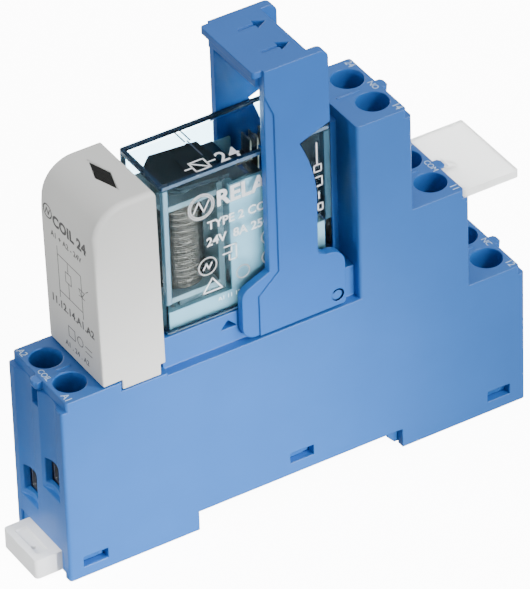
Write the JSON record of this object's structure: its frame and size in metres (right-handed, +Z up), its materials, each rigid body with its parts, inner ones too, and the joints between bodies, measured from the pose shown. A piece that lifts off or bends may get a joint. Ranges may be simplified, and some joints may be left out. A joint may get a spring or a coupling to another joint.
{
  "type": "relay interface module",
  "caption": "Slim rail-mounted relay interface: stepped screw-terminal socket with a clear plug-in relay, indicator module, retaining clip, rail catch and marker tag.",
  "frame": {"origin": "under the middle of the whole part, at the height of the feet", "axes": "+X from the coil terminals to the contact terminals, +Y across the width, +Z up from the rail side"},
  "size_m": [0.0848, 0.0154, 0.0777],
  "materials": {
    "blue_plastic": "satin",
    "white_plastic": "satin",
    "grey_plastic": "satin",
    "pale_plastic": "satin",
    "cream_plastic": "satin",
    "black_plastic": "satin",
    "blue_lacquer": "gloss",
    "green_board": "satin",
    "dark_lens": "gloss",
    "clear_lens": "gloss",
    "tinted_cover": "gloss",
    "tin_plate": "satin",
    "zinc_steel": "satin",
    "soft_iron": "satin",
    "contact_brass": "satin",
    "spring_brass": "polished",
    "copper_wire": "enamelled"
  },
  "bodies": {
    "socket": {"socket_housing": "blue_plastic", "socket_cover": "blue_plastic", "contact_strip_a1": "contact_brass", "contact_strip_a2": "contact_brass", "contact_strip_14": "contact_brass", "contact_strip_24": "contact_brass", "contact_strip_11": "contact_brass", "contact_strip_21": "contact_brass", "contact_strip_12": "contact_brass", "contact_strip_22": "contact_brass"},
    "screw_a1": {"terminal_screw_a1": "zinc_steel"},
    "cage_a1": {"clamp_cage_a1": "zinc_steel"},
    "screw_a2": {"terminal_screw_a2": "zinc_steel"},
    "cage_a2": {"clamp_cage_a2": "zinc_steel"},
    "screw_14": {"terminal_screw_14": "zinc_steel"},
    "cage_14": {"clamp_cage_14": "zinc_steel"},
    "screw_24": {"terminal_screw_24": "zinc_steel"},
    "cage_24": {"clamp_cage_24": "zinc_steel"},
    "screw_11": {"terminal_screw_11": "zinc_steel"},
    "cage_11": {"clamp_cage_11": "zinc_steel"},
    "screw_21": {"terminal_screw_21": "zinc_steel"},
    "cage_21": {"clamp_cage_21": "zinc_steel"},
    "screw_12": {"terminal_screw_12": "zinc_steel"},
    "cage_12": {"clamp_cage_12": "zinc_steel"},
    "screw_22": {"terminal_screw_22": "zinc_steel"},
    "cage_22": {"clamp_cage_22": "zinc_steel"},
    "rail_catch": {"rail_catch": "white_plastic"},
    "clip": {"retaining_clip": "blue_plastic"},
    "tag": {"marker_tag": "white_plastic"},
    "module": {"module_case": "grey_plastic", "module_base": "grey_plastic", "module_pins": "tin_plate", "module_board": "green_board", "module_led": "clear_lens", "module_diode": "black_plastic", "module_resistor": "blue_lacquer", "module_window": "dark_lens"},
    "relay": {"relay_cover": "tinted_cover", "relay_base": "pale_plastic", "coil_bobbin": "pale_plastic", "coil_winding": "copper_wire", "coil_core": "soft_iron", "coil_pins": "tin_plate", "yoke": "soft_iron", "break_contacts": "spring_brass", "make_contacts": "spring_brass"},
    "armature": {"armature": "soft_iron", "armature_spring": "spring_brass"},
    "card": {"actuator_card": "cream_plastic"},
    "spring_front": {"moving_spring_front": "spring_brass"},
    "spring_rear": {"moving_spring_rear": "spring_brass"}
  },
  "joints": [
    {"name": "screw_a1_turn", "type": "hinge", "parent": "socket", "child": "screw_a1", "pos_m": [-0.03425, -0.00345, 0.0247], "axis": [0, 0, -1], "range_deg": [0, 2521]},
    {"name": "cage_a1_rise", "type": "slide", "parent": "socket", "child": "cage_a1", "axis": [0, 0, 1], "range_m": [0, 0.0035]},
    {"name": "screw_a2_turn", "type": "hinge", "parent": "socket", "child": "screw_a2", "pos_m": [-0.03425, 0.00345, 0.0189], "axis": [0, 0, -1], "range_deg": [0, 2521]},
    {"name": "cage_a2_rise", "type": "slide", "parent": "socket", "child": "cage_a2", "axis": [0, 0, 1], "range_m": [0, 0.0035]},
    {"name": "screw_14_turn", "type": "hinge", "parent": "socket", "child": "screw_14", "pos_m": [0.01835, -0.00345, 0.0555], "axis": [0, 0, -1], "range_deg": [0, 2521]},
    {"name": "cage_14_rise", "type": "slide", "parent": "socket", "child": "cage_14", "axis": [0, 0, 1], "range_m": [0, 0.0035]},
    {"name": "screw_24_turn", "type": "hinge", "parent": "socket", "child": "screw_24", "pos_m": [0.01835, 0.00345, 0.0555], "axis": [0, 0, -1], "range_deg": [0, 2521]},
    {"name": "cage_24_rise", "type": "slide", "parent": "socket", "child": "cage_24", "axis": [0, 0, 1], "range_m": [0, 0.0035]},
    {"name": "screw_11_turn", "type": "hinge", "parent": "socket", "child": "screw_11", "pos_m": [0.0281, -0.00345, 0.0373], "axis": [0, 0, -1], "range_deg": [0, 2521]},
    {"name": "cage_11_rise", "type": "slide", "parent": "socket", "child": "cage_11", "axis": [0, 0, 1], "range_m": [0, 0.0035]},
    {"name": "screw_21_turn", "type": "hinge", "parent": "socket", "child": "screw_21", "pos_m": [0.0281, 0.00345, 0.0373], "axis": [0, 0, -1], "range_deg": [0, 2521]},
    {"name": "cage_21_rise", "type": "slide", "parent": "socket", "child": "cage_21", "axis": [0, 0, 1], "range_m": [0, 0.0035]},
    {"name": "screw_12_turn", "type": "hinge", "parent": "socket", "child": "screw_12", "pos_m": [0.03785, -0.00345, 0.0189], "axis": [0, 0, -1], "range_deg": [0, 2521]},
    {"name": "cage_12_rise", "type": "slide", "parent": "socket", "child": "cage_12", "axis": [0, 0, 1], "range_m": [0, 0.0035]},
    {"name": "screw_22_turn", "type": "hinge", "parent": "socket", "child": "screw_22", "pos_m": [0.03785, 0.00345, 0.0189], "axis": [0, 0, -1], "range_deg": [0, 2521]},
    {"name": "cage_22_rise", "type": "slide", "parent": "socket", "child": "cage_22", "axis": [0, 0, 1], "range_m": [0, 0.0035]},
    {"name": "rail_catch_slide", "type": "slide", "parent": "socket", "child": "rail_catch", "axis": [-1, 0, 0], "range_m": [0, 0.0025], "stiffness_N_per_m": 1500, "springref_m": -0.001},
    {"name": "clip_tilt", "type": "hinge", "parent": "socket", "child": "clip", "pos_m": [0.009, 0, 0.0333], "axis": [0, 1, 0], "range_deg": [0, 5]},
    {"name": "tag_slide", "type": "slide", "parent": "socket", "child": "tag", "axis": [1, 0, 0], "range_m": [0, 0.006]},
    {"name": "module_plug", "type": "slide", "parent": "socket", "child": "module", "axis": [0, 0, 1], "range_m": [0, 0.008]},
    {"name": "relay_plug", "type": "slide", "parent": "socket", "child": "relay", "axis": [0, 0, 1], "range_m": [0, 0.008]},
    {"name": "armature_pull", "type": "hinge", "parent": "relay", "child": "armature", "pos_m": [-0.0084, 0, 0.0596], "axis": [0, -1, 0], "range_deg": [0, 4.6], "stiffness_Nm_per_rad": 0.01, "springref_deg": -2.86},
    {"name": "card_push", "type": "slide", "parent": "relay", "child": "card", "axis": [1, 0, 0], "range_m": [0, 0.00047]},
    {"name": "spring_front_bend", "type": "hinge", "parent": "relay", "child": "spring_front", "pos_m": [0.0017, -0.0029, 0.041], "axis": [0, 1, 0], "range_deg": [0, 2.4]},
    {"name": "spring_rear_bend", "type": "hinge", "parent": "relay", "child": "spring_rear", "pos_m": [0.0017, 0.0029, 0.041], "axis": [0, 1, 0], "range_deg": [0, 2.4]}
  ],
  "couplings": [
    {"joint": "screw_a1_turn", "follows": "cage_a1_rise", "rad_per_m": 12566},
    {"joint": "screw_a2_turn", "follows": "cage_a2_rise", "rad_per_m": 12566},
    {"joint": "screw_14_turn", "follows": "cage_14_rise", "rad_per_m": 12566},
    {"joint": "screw_24_turn", "follows": "cage_24_rise", "rad_per_m": 12566},
    {"joint": "screw_11_turn", "follows": "cage_11_rise", "rad_per_m": 12566},
    {"joint": "screw_21_turn", "follows": "cage_21_rise", "rad_per_m": 12566},
    {"joint": "screw_12_turn", "follows": "cage_12_rise", "rad_per_m": 12566},
    {"joint": "screw_22_turn", "follows": "cage_22_rise", "rad_per_m": 12566},
    {"joint": "armature_pull", "follows": "card_push", "rad_per_m": 163.93},
    {"joint": "spring_front_bend", "follows": "card_push", "rad_per_m": 80},
    {"joint": "spring_rear_bend", "follows": "card_push", "rad_per_m": 80}
  ]
}
